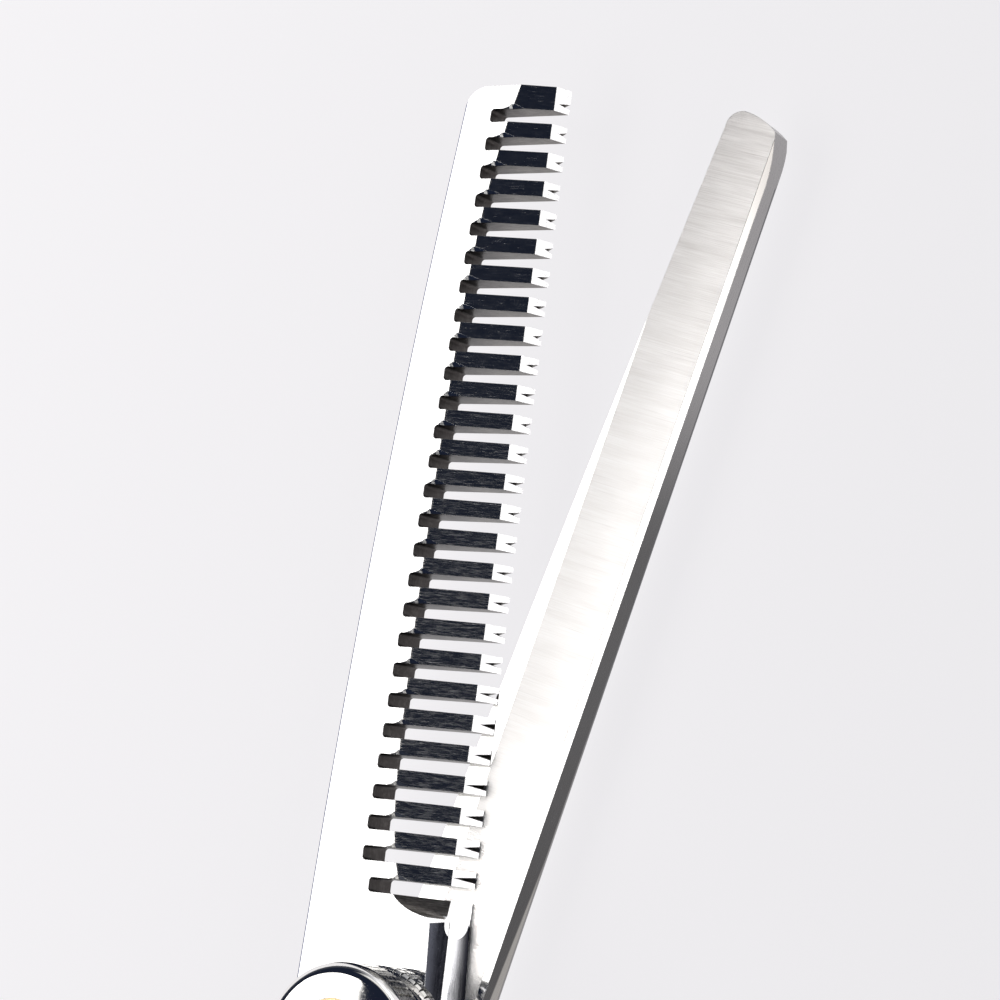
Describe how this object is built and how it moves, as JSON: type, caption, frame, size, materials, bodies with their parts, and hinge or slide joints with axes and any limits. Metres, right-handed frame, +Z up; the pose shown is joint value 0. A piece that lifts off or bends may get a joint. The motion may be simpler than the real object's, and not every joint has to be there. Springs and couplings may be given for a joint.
{
  "type": "thinning shears",
  "caption": "Hair thinning shears: a toothed blade over a plain blade on an adjustable ribbed pivot knob, with offset ring handles, ring liners, bumper and finger rest.",
  "frame": {"origin": "on the pivot axis, at the flat underside of the pivot bolt's head, which the shears rest on", "axes": "+Z up along the pivot axis towards the tension knob, +Y along the middle line between the two blades towards their tips, +X to the right seen from the knob side with the tips away, the side that the plain blade opens to"},
  "size_m": [0.0856, 0.1634, 0.012],
  "materials": {
    "toothed_blade_steel": "mirror-polished outer face, ground teeth",
    "plain_blade_steel": "cross-brushed hollow-ground inner face with a polished ride line",
    "handle_steel": "polished",
    "liner_rubber": "soft matte",
    "bumper_rubber": "soft matte",
    "fastener_steel": "turned and polished",
    "brass_insert": "plain",
    "bronze_bush": "sintered",
    "ptfe": "waxy",
    "knob_chrome": "bright plated",
    "gold_trim": "gold-toned, polished",
    "bearing_steel": "hardened and polished",
    "brass_cage": "stamped",
    "spring_steel": "tempered"
  },
  "bodies": {
    "finger_half": {"plain_blade": "plain_blade_steel", "finger_handle": "handle_steel", "finger_ring_liner": "liner_rubber", "pivot_bolt": "fastener_steel", "blade_washer": "ptfe", "bumper": "bumper_rubber", "bumper_stud": "brass_insert", "finger_rest": "handle_steel", "finger_rest_stud": "fastener_steel", "retaining_screw": "fastener_steel"},
    "thumb_half": {"toothed_blade": "toothed_blade_steel", "thumb_handle": "handle_steel", "thumb_ring_liner": "liner_rubber", "pivot_bush": "bronze_bush", "detent_ring": "knob_chrome", "thrust_race_lower": "bearing_steel"},
    "ball_cage_ring": {"bearing_balls": "bearing_steel", "ball_cage": "brass_cage"},
    "knob": {"tension_knob": "knob_chrome", "knob_cap": "gold_trim", "thrust_race_upper": "bearing_steel", "click_spring": "spring_steel"}
  },
  "joints": [
    {"name": "blade_pivot", "type": "hinge", "parent": "finger_half", "child": "thumb_half", "pos_m": [0, 0, 0], "axis": [0, 0, 1], "range_deg": [-14.2, 46]},
    {"name": "cage_roll", "type": "hinge", "parent": "finger_half", "child": "ball_cage_ring", "pos_m": [0, 0, 0], "axis": [0, 0, 1], "range_deg": [-7.1, 23]},
    {"name": "tension_adjust", "type": "hinge", "parent": "finger_half", "child": "knob", "pos_m": [0, 0, 0], "axis": [0, 0, 1], "range_deg": [-45, 45]}
  ],
  "couplings": [
    {"joint": "cage_roll", "follows": "blade_pivot", "ratio": 0.5}
  ]
}
